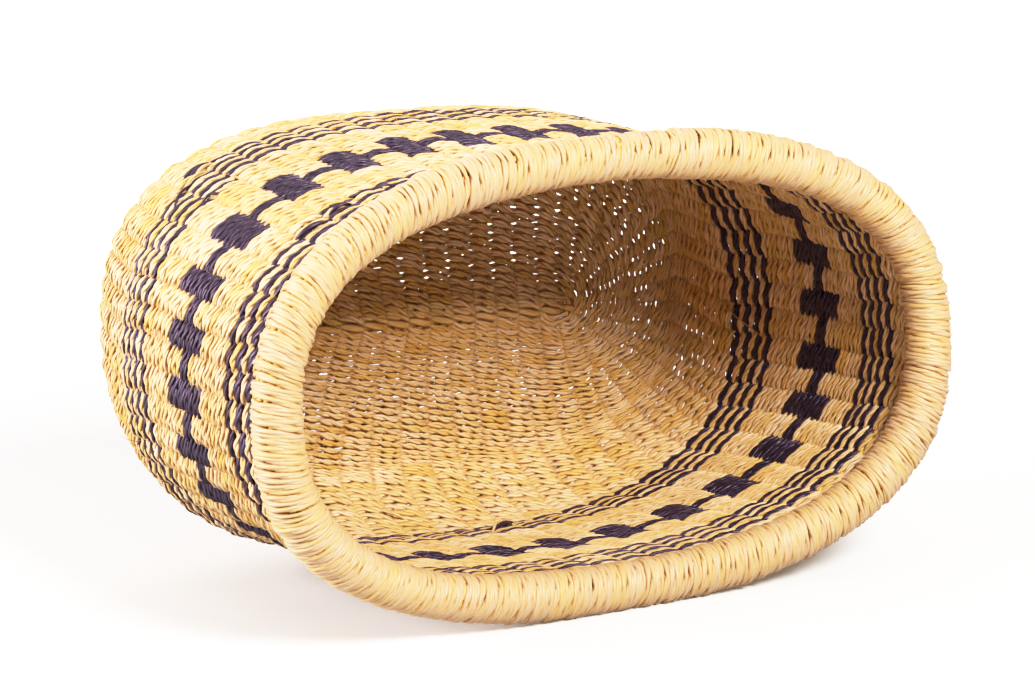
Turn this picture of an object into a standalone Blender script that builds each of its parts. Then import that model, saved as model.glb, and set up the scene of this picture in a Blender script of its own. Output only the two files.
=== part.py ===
# Oval twined grass basket lying on one long side, its mouth towards -Y.
# Metres, +Z up, the floor at zero, the middle of the part's footprint on the Z axis.
import math

import bmesh
import bpy
import numpy as np

# Body, measured on the middle of the wall
MOUTH_LENGTH = 0.3032
MOUTH_WIDTH = 0.1680
BODY_DEPTH = 0.1606
START_LINE_LENGTH = 0.1596
START_LINE_WIDTH = 0.0040
WALL_THICKNESS = 0.0052

# Hand-woven irregularities of the body
BASE_BOW = 0.0067
MOUTH_BOW = 0.0045
BODY_DRIFT_ALONG = 0.0083
BODY_DRIFT_ACROSS = 0.0053
HEEL_OFFSET = 0.0082

# Ribs that the stakes raise in the weave of the base and the heel
STAKE_RIB_DEPTH = 0.0011
FULL_RIB_SPACING = 0.0080

# Rim
RIM_ROLL_RADIUS = 0.0103
RIM_WRAP_THICKNESS = 0.0024
RIM_INSET = 0.0034
WRAP_RIB_DEPTH = 0.0005

# Fits
CLEARANCE = 0.0003
SLIT_CLEARANCE = 0.0005
REST_FLAT_DEPTH = 0.0005
CUTTER_OVERRUN = 0.0200

# Counts
STAKES = 62
LINE_STAKES = 14
FAN_STAKES = 17
BASE_ROWS = 20
HEEL_ROWS = 10
STRIPE_ROWS = 7
PLAIN_ROWS = 6
BLOCK_ROWS = 8
LINK_ROWS = 2
WRAP_RIBS = 72
RING_SIDES = 44
WRAP_OUTER_SIDES = 8
WRAP_INNER_SIDES = 6
DENSE_STEPS = 1440

# The wall from the start line to the mouth, at rows counted from the start line
STATION_ROWS = (0, 10, 20, 30.5, 36.5, 47, 57.5, 63.5, 69)
DEPTH_SHARES = (0.993, 1.0, 1.0, 0.788, 0.664, 0.433, 0.240, 0.115, 0.0)
LENGTH_SHARES = (0.0, 0.429, 0.868, 1.001, 1.039, 1.057, 1.039, 1.004, 1.0)
WIDTH_SHARES = (0.0, 0.423, 0.891, 1.096, 1.071, 1.051, 1.006, 1.0, 1.0)
HEEL_OFFSET_SHARES = (-0.10, 0.37, 1.0, -0.06, 0.05, 0.0, -0.08, 0.07, 0.0)
STRAIGHT_SHARES = (1.0, 0.8, 0.45, 0.0, 0.0, 0.0, 0.0, 0.0, 0.0)
ROUNDNESS = (2.0, 2.2, 2.4, 2.57, 2.57, 2.45, 2.45, 2.45, 2.45)
SKEW_SHARES = (1.0, 1.0, 1.0, 1.0, 1.0, 0.6, 0.3, 0.0, 0.0)
SKEW = -0.0251
EGG_SHARES = (0.0202, 0.0202, 0.0202, 0.0196, 0.0192, 0.0184, 0.0178, 0.0174, 0.0171)
ANGLE_SPREAD_SHARE = 0.15
STAKE_PHASE_SHARE = 0.36

# How far the stakes at some places have strayed from an even spacing, in stakes
DRIFT_STAKES = (2, 8, 14, 20, 23, 26, 31, 35, 44, 48, 52, 57, 61)
DRIFTS = (0.0, -0.2, -0.45, -0.45, -0.2, 0.4, -0.1, -0.6, -0.45, -0.1, 0.3, 0.6, 0.25)

# Colours
STRAW = (0.72, 0.52, 0.27)
STRAW_RIM = (0.78, 0.60, 0.34)
STRAW_CORE = (0.60, 0.44, 0.24)
DYED = (0.050, 0.034, 0.075)

mouth_half_length = MOUTH_LENGTH / 2
mouth_half_width = MOUTH_WIDTH / 2
line_half_length = START_LINE_LENGTH / 2
line_half_width = START_LINE_WIDTH / 2
half_wall = WALL_THICKNESS / 2
half_gap = CLEARANCE / 2
core_radius = RIM_ROLL_RADIUS - RIM_WRAP_THICKNESS - CLEARANCE
total_rows = STATION_ROWS[-1]


def smooth(values, rows):
    """Monotone cubic through the station values, read at the given rows."""
    x = np.asarray(STATION_ROWS, float)
    y = np.asarray(values, float)
    step = np.diff(x)
    rise = np.diff(y) / step
    slope = np.zeros(len(x))
    slope[0], slope[-1] = rise[0], rise[-1]
    for i in range(1, len(x) - 1):
        if rise[i - 1] * rise[i] > 0:
            before = 2 * step[i] + step[i - 1]
            after = step[i] + 2 * step[i - 1]
            slope[i] = (before + after) / (before / rise[i - 1] + after / rise[i])
    rows = np.clip(rows, x[0], x[-1])
    i = np.clip(np.searchsorted(x, rows, side="right") - 1, 0, len(x) - 2)
    s = (rows - x[i]) / step[i]
    return (
        (2 * s**3 - 3 * s**2 + 1) * y[i]
        + (s**3 - 2 * s**2 + s) * step[i] * slope[i]
        + (3 * s**2 - 2 * s**3) * y[i + 1]
        + (s**3 - s**2) * step[i] * slope[i + 1]
    )


def row_at_depth(depth):
    """The row whose depth below the mouth plane is the given one, near the mouth."""
    low, high = STATION_ROWS[-4], total_rows
    for _ in range(60):
        middle = (low + high) / 2
        if smooth(DEPTH_SHARES, middle) * BODY_DEPTH > depth:
            low = middle
        else:
            high = middle
    return low


def loop_points(row, around):
    """Points of one row on the wall's middle, in the basket's frame: x along the mouth, z out of it."""
    depth_share = smooth(DEPTH_SHARES, row)
    half_length = line_half_length + (mouth_half_length - line_half_length) * smooth(LENGTH_SHARES, row)
    half_width = line_half_width + (mouth_half_width - line_half_width) * smooth(WIDTH_SHARES, row)
    straight = line_half_length * smooth(STRAIGHT_SHARES, row)
    power = 2 / smooth(ROUNDNESS, row)
    angle = np.linspace(0, 2 * math.pi, DENSE_STEPS + 1)
    cosine, sine = np.cos(angle), np.sin(angle)
    x = np.sign(cosine) * (np.abs(cosine) ** power * (half_length - straight) + straight)
    y = np.sign(sine) * np.abs(sine) ** power * half_width
    reach = x / half_length
    y = y * (1 + smooth(EGG_SHARES, row) * reach)
    y = y + SKEW * smooth(SKEW_SHARES, row) * x
    y = y + HEEL_OFFSET * smooth(HEEL_OFFSET_SHARES, row) + BODY_DRIFT_ACROSS * depth_share
    x = x - BODY_DRIFT_ALONG * depth_share
    bow = MOUTH_BOW * (1 - depth_share) + BASE_BOW * depth_share
    z = bow * (2 * reach**2 - 1) - BODY_DEPTH * depth_share
    path = np.stack([x, y, z], 1)
    length = np.concatenate([[0.0], np.cumsum(np.linalg.norm(np.diff(path, axis=0), axis=1))])
    measure = (1 - ANGLE_SPREAD_SHARE) * length / length[-1] + ANGLE_SPREAD_SHARE * angle / angle[-1]
    around = np.asarray(around, float) % 1.0
    return np.stack([np.interp(around, measure, path[:, k]) for k in range(3)], 1)


def wall_points(row, around, offset):
    """Points of one row moved out of the wall's middle by the offset, along the wall's normal."""
    around = np.asarray(around, float)
    turn = 1 / (4 * STAKES)
    step = 0.25
    low, high = max(row - step, 0), min(row + step, total_rows)
    along = loop_points(row, around + turn) - loop_points(row, around - turn)
    up = loop_points(high, around) - loop_points(low, around)
    normal = np.cross(along, up)
    normal /= np.linalg.norm(normal, axis=1)[:, None]
    return loop_points(row, around) + normal * np.reshape(offset, (-1, 1))


def gap_rows(row, gap):
    """How many rows a gap spans beside the given row."""
    low, high = max(row - 0.5, 0), min(row + 0.5, total_rows)
    around = np.arange(RING_SIDES) / RING_SIDES
    length = np.linalg.norm(loop_points(high, around) - loop_points(low, around), axis=1).min()
    return gap / (length / (high - low))


def stake_places():
    """Where the stakes stand round the wall, as shares of the way round."""
    stakes = np.arange(STAKES)
    places = np.array((DRIFT_STAKES[-1] - STAKES,) + DRIFT_STAKES + (DRIFT_STAKES[0] + STAKES,), float)
    drifts = np.array((DRIFTS[-1],) + DRIFTS + (DRIFTS[0],))
    i = np.clip(np.searchsorted(places, stakes, side="right") - 1, 0, len(places) - 2)
    share = (stakes - places[i]) / (places[i + 1] - places[i])
    share = share * share * (3 - 2 * share)
    return (stakes + STAKE_PHASE_SHARE + drifts[i] * (1 - share) + drifts[i + 1] * share) / STAKES


def stake_starts():
    """Where each stake leaves the start line, seen along the basket's axis: two rows of them
    leave the line side by side, and the rest fan out from its two ends."""
    ring = loop_points(BASE_ROWS, stake_places())[:, :2]
    right, left = loop_points(0, np.array([0.0, 0.5]))[:, :2]
    middle = (right[0] + left[0]) / 2
    near = sorted(range(STAKES), key=lambda k: abs(ring[k, 0] - middle))
    top = sorted([k for k in near if k < STAKES // 2][:LINE_STAKES])
    bottom = sorted([k for k in near if k >= STAKES // 2][:LINE_STAKES])
    starts = np.zeros((STAKES, 2))
    for number in range(LINE_STAKES):
        place = left + (right - left) * (0.01 + 0.98 * (1 - (number + 0.5) / LINE_STAKES))
        starts[top[number]] = starts[bottom[LINE_STAKES - 1 - number]] = place
    for number in range(FAN_STAKES):
        starts[(bottom[-1] + 1 + number) % STAKES] = right
        starts[top[-1] + 1 + number] = left
    return starts, (bottom[-1] + 1 + FAN_STAKES // 2) % STAKES


def stake_columns(row):
    """The way round at a row of every stake and of every middle between two stakes, from the stake
    that runs straight on from the start line."""
    even = stake_places()
    starts, first = stake_starts()
    found = even.copy()
    if row < BASE_ROWS:
        ring = loop_points(BASE_ROWS, even)[:, :2]
        around = np.arange(DENSE_STEPS) / DENSE_STEPS
        loop = loop_points(row, around)[:, :2]
        for k in range(STAKES):
            way, place = ring[k] - starts[k], loop - starts[k]
            across = place[:, 0] * way[1] - place[:, 1] * way[0]
            nearby = np.abs((around - even[k] + 0.5) % 1.0 - 0.5)
            turned = (np.sign(across) != np.sign(np.roll(across, -1))) & (place @ way > -1e-9)
            j = int(np.argmin(np.where(turned, nearby, 1.0)))
            a, b = across[j], across[(j + 1) % DENSE_STEPS]
            offset = (j + a / (a - b)) / DENSE_STEPS - even[k]
            found[k] = even[k] + (offset + 0.5) % 1.0 - 0.5
    found = np.roll(found, -first)
    found[STAKES - first:] += 1.0
    following = np.append(found[1:], found[0] + 1.0)
    return np.stack([found, (found + following) / 2], 1).reshape(-1)


def closed_loft(loops):
    """A tube through closed loops, the last joined to the first."""
    sides = len(loops[0])
    points = np.concatenate(loops)
    faces = []
    for i in range(len(loops)):
        k = (i + 1) % len(loops)
        for j in range(sides):
            n = (j + 1) % sides
            faces.append((i * sides + j, i * sides + n, k * sides + n, k * sides + j))
    return points, faces


def wall_ring(first_row, last_row, steps, sides):
    """A closed band of the wall between two rows, half a clearance short at each end."""
    low = first_row + gap_rows(first_row, half_gap)
    high = last_row - gap_rows(last_row, half_gap)
    around = np.arange(sides) / sides
    rows = np.linspace(low, high, steps + 1)
    outer = [wall_points(row, around, half_wall) for row in rows]
    inner = [wall_points(row, around, -half_wall) for row in rows[::-1]]
    return closed_loft(outer + inner)


def ribbed_ring(first_row, last_row, steps):
    """A closed band of the wall that stands out over the stakes, inside and outside."""
    low = first_row + gap_rows(first_row, half_gap)
    high = last_row - gap_rows(last_row, half_gap)
    outer, inner = [], []
    for row in np.linspace(low, high, steps + 1):
        around = stake_columns(row)
        ring = loop_points(row, around)
        spacing = np.linalg.norm(np.roll(ring, -1, 0) - np.roll(ring, 1, 0), axis=1)
        depth = STAKE_RIB_DEPTH * np.minimum(spacing / FULL_RIB_SPACING, 1.0)
        height = half_wall - depth * (np.arange(len(around)) % 2)
        outer.append(wall_points(row, around, height))
        inner.append(wall_points(row, around, -height))
    return closed_loft(outer + inner[::-1])


def start_line_plug():
    """The slim oval of wall that closes the slot inside the first row."""
    sides = 2 * STAKES
    row = 0.5 - gap_rows(0.5, half_gap)
    around = stake_columns(row)
    outer = wall_points(row, around, half_wall)
    inner = wall_points(row, around, -half_wall)
    points = np.concatenate([outer, inner])
    faces = []
    for j in range(sides):
        n = (j + 1) % sides
        faces.append((j, n, sides + n, sides + j))
    for j in range(STAKES):
        a, b, c, d = j, j + 1, sides - 1 - j, (sides - j) % sides
        for level, face in ((0, (a, b, c, d)), (sides, (d, c, b, a))):
            kept = list(dict.fromkeys(level + k for k in face))
            if len(kept) > 2:
                faces.append(tuple(kept))
    return points, faces


def toothed_ring(rows, filled):
    """A ring cut into one cell for each stake, with a thin strip of clearance between two cells.

    filled(level, layer, stake) says whether a cell is there, layer 0 inside and 1 outside,
    and stake is None in the strips.
    """
    strip = CLEARANCE / girth_at(rows[len(rows) // 2])
    places = stake_places()
    starts = (places + np.append(places[-1] - 1.0, places[:-1])) / 2
    stops = np.append(starts[1:], starts[0] + 1.0)
    edges, cells = [], []
    for k in range(STAKES):
        edges += [starts[k] + strip / 2, stops[k] - strip / 2]
        cells += [k, None]
    columns = len(edges)
    middle = np.zeros(columns)
    for k in range(STAKES):
        outside = filled(len(rows) - 2, 1, k) or filled(0, 1, k)
        inside = filled(len(rows) - 2, 0, k) or filled(0, 0, k)
        shift = half_gap * (1 if outside and not inside else -1 if inside and not outside else 0)
        middle[2 * k], middle[2 * k + 1] = shift, shift
    levels = []
    for row in rows:
        for offset in (-half_wall, middle, half_wall):
            levels.append(wall_points(row, edges, np.broadcast_to(offset, (columns,))))
    grid = np.stack(levels).reshape(len(rows), 3, columns, 3)
    index = {}
    points, faces = [], []

    def corner(level, layer, column):
        key = (level, layer, column % columns)
        if key not in index:
            index[key] = len(points)
            points.append(grid[key])
        return index[key]

    def present(level, layer, column):
        if not (0 <= level < len(rows) - 1 and 0 <= layer < 2):
            return False
        return bool(filled(level, layer, cells[column % columns]))

    for level in range(len(rows) - 1):
        for layer in range(2):
            for column in range(columns):
                if not present(level, layer, column):
                    continue
                c = {
                    (u, v, w): (level + u, layer + v, column + w)
                    for u in (0, 1)
                    for v in (0, 1)
                    for w in (0, 1)
                }
                sides = (
                    ((level + 1, layer, column), ((1, 0, 0), (1, 0, 1), (1, 1, 1), (1, 1, 0))),
                    ((level - 1, layer, column), ((0, 0, 0), (0, 1, 0), (0, 1, 1), (0, 0, 1))),
                    ((level, layer + 1, column), ((0, 1, 0), (1, 1, 0), (1, 1, 1), (0, 1, 1))),
                    ((level, layer - 1, column), ((0, 0, 0), (0, 0, 1), (1, 0, 1), (1, 0, 0))),
                    ((level, layer, column + 1), ((0, 0, 1), (0, 1, 1), (1, 1, 1), (1, 0, 1))),
                    ((level, layer, column - 1), ((0, 0, 0), (1, 0, 0), (1, 1, 0), (0, 1, 0))),
                )
                for other, corners in sides:
                    if not present(*other):
                        faces.append(tuple(corner(*c[k]) for k in corners))
    return np.array(points), faces


def girth_at(row):
    """The length once round the wall at a row."""
    ring = loop_points(row, np.arange(DENSE_STEPS) / DENSE_STEPS)
    return float(np.linalg.norm(ring - np.roll(ring, -1, axis=0), axis=1).sum())


def outside_dark(stake):
    return stake % 2 == 1


def rim_frame(around):
    """The rim roll's centre line with its outward and mouthward directions."""
    turn = 1 / (4 * STAKES)
    ring = loop_points(total_rows, around)
    tangent = loop_points(total_rows, around + turn) - loop_points(total_rows, around - turn)
    tangent /= np.linalg.norm(tangent, axis=1)[:, None]
    out = np.cross(tangent, np.array([0.0, 0.0, 1.0]))
    out /= np.linalg.norm(out, axis=1)[:, None]
    up = np.cross(out, tangent)
    return ring + out * RIM_INSET, out, up


def rim_wrap_solid():
    """The wrapping round the core, ribbed, and open below where the wall's lip comes in."""
    columns = 2 * WRAP_RIBS
    around = np.arange(columns) / columns
    centre, out, up = rim_frame(around)
    crest = np.where(np.arange(columns) % 2 == 0, 0.0, 1.0)
    roll = RIM_ROLL_RADIUS - WRAP_RIB_DEPTH * (1 - crest)
    bore = np.full(columns, (core_radius + CLEARANCE) / math.cos(math.pi / WRAP_INNER_SIDES))
    passing = loop_points(row_at_depth((core_radius + RIM_ROLL_RADIUS) / 2), around)
    lateral_wall = np.einsum("ij,ij->i", passing - centre, out)
    inner_edge = lateral_wall - (half_wall + SLIT_CLEARANCE)
    outer_edge = lateral_wall + (half_wall + SLIT_CLEARANCE)
    loops = []

    def arc(radius, sides, forward):
        start = np.arctan2(outer_edge, -np.sqrt(radius**2 - outer_edge**2)) % (2 * math.pi)
        stop = np.arctan2(inner_edge, -np.sqrt(radius**2 - inner_edge**2))
        found = []
        for number in range(sides + 1):
            angle = start + (stop - start) * number / sides
            lateral, height = radius * np.sin(angle), radius * np.cos(angle)
            found.append(centre + lateral[:, None] * out + height[:, None] * up)
        return found if forward else found[::-1]

    loops += arc(roll, WRAP_OUTER_SIDES, True)
    loops += arc(bore, WRAP_INNER_SIDES, False)
    return closed_loft(loops)


def build_shapes():
    """Every solid in the basket's frame, in order from the start line to the rim."""
    shapes = {}
    row = 0.5
    shapes["start_line"] = (start_line_plug(), STRAW)
    shapes["base_weft"] = (ribbed_ring(row, BASE_ROWS, 4), STRAW)
    row = BASE_ROWS
    shapes["heel_weft"] = (ribbed_ring(row, row + HEEL_ROWS, 4), STRAW)
    row += HEEL_ROWS

    def stripes(row, place):
        for number in range(STRIPE_ROWS):
            dyed = number % 2 == 0
            name = f"{place}_{'stripe' if dyed else 'spacer'}_{number // 2 + 1}"
            colour = DYED if dyed else STRAW
            shapes[name] = (wall_ring(row + number, row + number + 1, 1, RING_SIDES), colour)
        return row + STRIPE_ROWS

    row = stripes(row, "lower")
    blocks = row + PLAIN_ROWS
    link = blocks + (BLOCK_ROWS - LINK_ROWS) / 2
    end = blocks + BLOCK_ROWS
    gap = gap_rows(blocks, half_gap)

    def lower_ground(level, layer, stake):
        if level == 0:
            return True
        return stake is not None and (outside_dark(stake) == (layer == 0))

    def chain(level, layer, stake):
        if level == 1:
            return True
        return stake is not None and (outside_dark(stake) == (layer == 1))

    def upper_ground(level, layer, stake):
        return lower_ground(1 - level, layer, stake)

    shapes["wall_weft_below_blocks"] = (
        toothed_ring((row + gap, blocks - gap, link - gap), lower_ground),
        STRAW,
    )
    shapes["block_chain"] = (
        toothed_ring((blocks + gap, link + gap, link + LINK_ROWS - gap, end - gap), chain),
        DYED,
    )
    shapes["wall_weft_above_blocks"] = (
        toothed_ring((link + LINK_ROWS + gap, end + gap, end + PLAIN_ROWS - gap), upper_ground),
        STRAW,
    )
    row = stripes(end + PLAIN_ROWS, "upper")
    lip = row_at_depth(core_radius + CLEARANCE)
    shapes["lip_weft"] = (wall_ring(row, lip, 1, WRAP_RIBS), STRAW)
    shapes["rim_wrap"] = (rim_wrap_solid(), STRAW_RIM)
    return shapes


def resting_lean(shapes):
    """The tilt of the mouth at which the rim and the belly touch the floor together."""
    rim = shapes["rim_wrap"][0][0]
    belly = np.concatenate([shape[0] for name, (shape, _) in shapes.items() if not name.startswith("rim")])

    def height(points, lean):
        return float((points[:, 2] * math.sin(lean) + points[:, 1] * math.cos(lean)).min())

    low, high = -math.pi / 9, math.pi / 9
    for _ in range(60):
        lean = (low + high) / 2
        if height(rim, lean) + REST_FLAT_DEPTH < height(belly, lean):
            low = lean
        else:
            high = lean
    return lean, height(rim, lean) + REST_FLAT_DEPTH


def stood(points, lean, floor):
    """Basket frame to the part's frame, before it is centred."""
    x = points[:, 0]
    y = points[:, 1] * math.sin(lean) - points[:, 2] * math.cos(lean)
    z = points[:, 2] * math.sin(lean) + points[:, 1] * math.cos(lean) - floor
    return np.stack([x, y, z], 1)


def plain_material(name, colour):
    material = bpy.data.materials.new(name)
    material.use_nodes = True
    shader = material.node_tree.nodes["Principled BSDF"]
    shader.inputs["Base Color"].default_value = (*colour, 1)
    shader.inputs["Roughness"].default_value = 0.7
    return material


def solid(name, points, faces, colour, collection):
    mesh = bpy.data.meshes.new(name)
    mesh.from_pydata([tuple(map(float, p)) for p in points], [], faces)
    shape = bmesh.new()
    shape.from_mesh(mesh)
    bmesh.ops.recalc_face_normals(shape, faces=shape.faces)
    if shape.calc_volume(signed=True) < 0:
        bmesh.ops.reverse_faces(shape, faces=shape.faces)
    shape.to_mesh(mesh)
    shape.free()
    mesh.materials.append(plain_material(name, colour))
    made = bpy.data.objects.new(name, mesh)
    collection.objects.link(made)
    return made


def rim_core(place, collection):
    """The bundle of stake ends and grass laid round the mouth, as a bevelled closed curve."""
    centre, _, _ = rim_frame(np.arange(WRAP_RIBS) / WRAP_RIBS)
    curve = bpy.data.curves.new("rim_core", "CURVE")
    curve.dimensions = "3D"
    line = curve.splines.new("POLY")
    line.points.add(WRAP_RIBS - 1)
    for point, at in zip(line.points, place(centre)):
        point.co = (*map(float, at), 1)
    line.use_cyclic_u = True
    curve.bevel_depth = core_radius
    curve.bevel_resolution = WRAP_INNER_SIDES // 2 - 2
    curve.materials.append(plain_material("rim_core", STRAW_CORE))
    collection.objects.link(bpy.data.objects.new("rim_core", curve))


def main():
    for old in list(bpy.data.objects):
        bpy.data.objects.remove(old)
    parts = bpy.data.collections.new("bolga_basket")
    cutters = bpy.data.collections.new("cutters")
    for collection in (parts, cutters):
        bpy.context.scene.collection.children.link(collection)
    cutters.hide_render = True

    shapes = build_shapes()
    lean, floor = resting_lean(shapes)
    standing = {name: stood(shape[0], lean, floor) for name, (shape, _) in shapes.items()}
    everything = np.concatenate(list(standing.values()))
    middle = (everything.min(axis=0) + everything.max(axis=0)) / 2
    middle[2] = 0.0
    for name, (shape, colour) in shapes.items():
        solid(name, standing[name] - middle, shape[1], colour, parts)
    rim_core(lambda points: stood(points, lean, floor) - middle, parts)

    size = everything.max(axis=0) - everything.min(axis=0)
    bpy.ops.mesh.primitive_cube_add(size=1)
    under = bpy.context.active_object
    under.name = "under_floor"
    for held in list(under.users_collection):
        held.objects.unlink(under)
    cutters.objects.link(under)
    under.scale = (size[0] + CUTTER_OVERRUN, size[1] + CUTTER_OVERRUN, CUTTER_OVERRUN)
    under.location = (0, 0, -CUTTER_OVERRUN / 2)
    under.display_type = "WIRE"
    under.hide_render = True
    flat = parts.objects["rim_wrap"].modifiers.new("rest_flat", "BOOLEAN")
    flat.operation = "DIFFERENCE"
    flat.solver = "EXACT"
    flat.object = under

    low = everything[:, 2].min()
    print(f"lean {math.degrees(lean):.3f} degrees, lowest point before the flat {low * 1000:.3f} mm")
    print("size in mm", np.round(size * 1000, 2), "middle moved by", np.round(middle * 1000, 3))
    print(f"girth at the blocks {girth_at(47) * 1000:.1f} mm, lip ends at row {row_at_depth(core_radius + CLEARANCE):.2f}")


main()
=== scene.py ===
import math

import bpy
import numpy as np
from mathutils import Matrix, Vector


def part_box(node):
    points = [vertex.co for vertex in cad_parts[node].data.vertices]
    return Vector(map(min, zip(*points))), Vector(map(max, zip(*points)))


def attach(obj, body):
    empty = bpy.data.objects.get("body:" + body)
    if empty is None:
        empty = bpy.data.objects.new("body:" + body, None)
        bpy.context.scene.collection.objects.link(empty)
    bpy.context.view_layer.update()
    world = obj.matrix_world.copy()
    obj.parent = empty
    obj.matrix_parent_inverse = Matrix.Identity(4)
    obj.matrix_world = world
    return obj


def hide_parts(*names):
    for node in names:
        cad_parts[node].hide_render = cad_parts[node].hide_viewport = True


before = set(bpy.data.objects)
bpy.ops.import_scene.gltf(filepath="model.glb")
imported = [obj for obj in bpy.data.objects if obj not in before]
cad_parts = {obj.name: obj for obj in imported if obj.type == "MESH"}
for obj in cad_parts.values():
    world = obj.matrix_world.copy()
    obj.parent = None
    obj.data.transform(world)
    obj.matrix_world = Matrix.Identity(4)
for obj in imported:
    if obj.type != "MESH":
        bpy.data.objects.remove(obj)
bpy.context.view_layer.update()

bl_info = {
    "name": "Bolga basket dressing",
    "version": (1, 0, 0),
    "blender": (4, 5, 0),
    "location": "View3D > Sidebar > Basket",
    "description": "Weaves the grass strands, stakes and wrapped rim of an oval basket round its solid model",
    "category": "Object",
}

# Wall of the basket, the same named values as in the part's source, metres
MOUTH_LENGTH = 0.3032
MOUTH_WIDTH = 0.1680
BODY_DEPTH = 0.1606
START_LINE_LENGTH = 0.1596
START_LINE_WIDTH = 0.0040
BASE_BOW = 0.0067
MOUTH_BOW = 0.0045
BODY_DRIFT_ALONG = 0.0083
BODY_DRIFT_ACROSS = 0.0053
HEEL_OFFSET = 0.0082
RIM_ROLL_RADIUS = 0.0103
RIM_INSET = 0.0034
LEAN = math.radians(2.572)
STATION_ROWS = (0, 10, 20, 30.5, 36.5, 47, 57.5, 63.5, 69)
DEPTH_SHARES = (0.993, 1.0, 1.0, 0.788, 0.664, 0.433, 0.240, 0.115, 0.0)
LENGTH_SHARES = (0.0, 0.429, 0.868, 1.001, 1.039, 1.057, 1.039, 1.004, 1.0)
WIDTH_SHARES = (0.0, 0.423, 0.891, 1.096, 1.071, 1.051, 1.006, 1.0, 1.0)
HEEL_OFFSET_SHARES = (-0.10, 0.37, 1.0, -0.06, 0.05, 0.0, -0.08, 0.07, 0.0)
STRAIGHT_SHARES = (1.0, 0.8, 0.45, 0.0, 0.0, 0.0, 0.0, 0.0, 0.0)
ROUNDNESS = (2.0, 2.2, 2.4, 2.57, 2.57, 2.45, 2.45, 2.45, 2.45)
SKEW_SHARES = (1.0, 1.0, 1.0, 1.0, 1.0, 0.6, 0.3, 0.0, 0.0)
SKEW = -0.0251
EGG_SHARES = (0.0202, 0.0202, 0.0202, 0.0196, 0.0192, 0.0184, 0.0178, 0.0174, 0.0171)
ANGLE_SPREAD_SHARE = 0.15
STAKE_PHASE_SHARE = 0.36
TOTAL_ROWS = STATION_ROWS[-1]

# Weave
STAKES = 62
LINE_STAKES = 14
FAN_STAKES = 17
STEP_STAKE = 23
FAN_FIRST_ROWS = {0: 1, 8: 1, 16: 1, 4: 3, 12: 3, 2: 5, 6: 5, 10: 5, 14: 5}
FAN_LATE_ROW = 12
FLAT_BASE_ROWS = 20
BASE_TURNS = 24
HEEL_LAST_ROW = 29
HEEL_TURNS = 12
DRIFT_STAKES = (2, 8, 14, 20, 23, 26, 31, 35, 44, 48, 52, 57, 61)
DRIFTS = (0.0, -0.2, -0.45, -0.45, -0.2, 0.4, -0.1, -0.6, -0.45, -0.1, 0.3, 0.6, 0.25)
PLIES = 2
PLY_LAY = 0.014
STRIPE_ZONES = ((29, 37), (56, 64))
STRIPE_FADE_ROWS = 8
STEP_SETTLE_STAKES = 3.0
DYED_STRAND = 0
NATURAL_STRAND = 1

# Tables of the wall
ROW_STEP = 0.5
AROUND_STEPS = 1440


class BasketSizes(bpy.types.PropertyGroup):
    strand_thickness: bpy.props.FloatProperty(
        name="Strand thickness", description="Thickness of a weft strand where it lies over a stake",
        default=0.0016, unit="LENGTH")
    strand_swing: bpy.props.FloatProperty(
        name="Strand swing", description="How far a weft strand's middle stands off the wall's middle over a stake",
        default=0.0017, unit="LENGTH")
    strand_pinch: bpy.props.FloatProperty(
        name="Strand pinch", description="Half the width of a weft strand where it dives between two stakes",
        default=0.00080, unit="LENGTH")
    stake_width: bpy.props.FloatProperty(
        name="Stake width", description="Width of a stake along the wall", default=0.0034, unit="LENGTH")
    stake_thickness: bpy.props.FloatProperty(
        name="Stake thickness", description="Thickness of a stake through the wall", default=0.0024, unit="LENGTH")
    stitch_rise: bpy.props.FloatProperty(
        name="Stitch rise", description="Rise of a stitch from its middle to its end, as a share of a row",
        default=0.36, subtype="FACTOR")
    wrap_turns: bpy.props.IntProperty(
        name="Wrap turns", description="Turns of split grass round the rim", default=360)
    wrap_strand_thickness: bpy.props.FloatProperty(
        name="Wrap thickness", description="Thickness of the split grass round the rim",
        default=0.0023, unit="LENGTH")
    wrap_lean: bpy.props.FloatProperty(
        name="Wrap lean", description="How far a turn leans along the rim from its middle to its side",
        default=0.0021, unit="LENGTH")


class BasketColours(bpy.types.PropertyGroup):
    pale: bpy.props.FloatVectorProperty(
        name="Pale straw", description="Lightest natural grass", subtype="COLOR", size=4,
        default=(0.84, 0.575, 0.34, 1.0), min=0, max=1)
    wrap: bpy.props.FloatVectorProperty(
        name="Rim wrap", description="Lightest grass round the rim", subtype="COLOR", size=4,
        default=(0.60, 0.385, 0.235, 1.0), min=0, max=1)
    straw: bpy.props.FloatVectorProperty(
        name="Straw", description="Usual natural grass", subtype="COLOR", size=4,
        default=(0.68, 0.39, 0.088, 1.0), min=0, max=1)
    # ochre is the colour of the darker fibre lines and also the painted shade where a strand dives between stakes and
    # along each strand's sides
    ochre: bpy.props.FloatVectorProperty(
        name="Ochre", description="Darker fibres and creases of natural grass", subtype="COLOR", size=4,
        default=(0.31, 0.12, 0.018, 1.0), min=0, max=1)
    dyed: bpy.props.FloatVectorProperty(
        name="Dyed grass", description="Usual dyed grass", subtype="COLOR", size=4,
        default=(0.003, 0.0012, 0.0055, 1.0), min=0, max=1)
    dyed_pale: bpy.props.FloatVectorProperty(
        name="Dyed grass, worn", description="Lightest fibres of dyed grass", subtype="COLOR", size=4,
        default=(0.016, 0.008, 0.026, 1.0), min=0, max=1)
    # dyed_deep is the colour of the darkest dyed fibre lines and also the painted shade where a strand dives between
    # stakes and along each strand's sides
    dyed_deep: bpy.props.FloatVectorProperty(
        name="Dyed grass, deep", description="Darkest fibres of dyed grass", subtype="COLOR", size=4,
        default=(0.002, 0.001, 0.003, 1.0), min=0, max=1)


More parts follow.
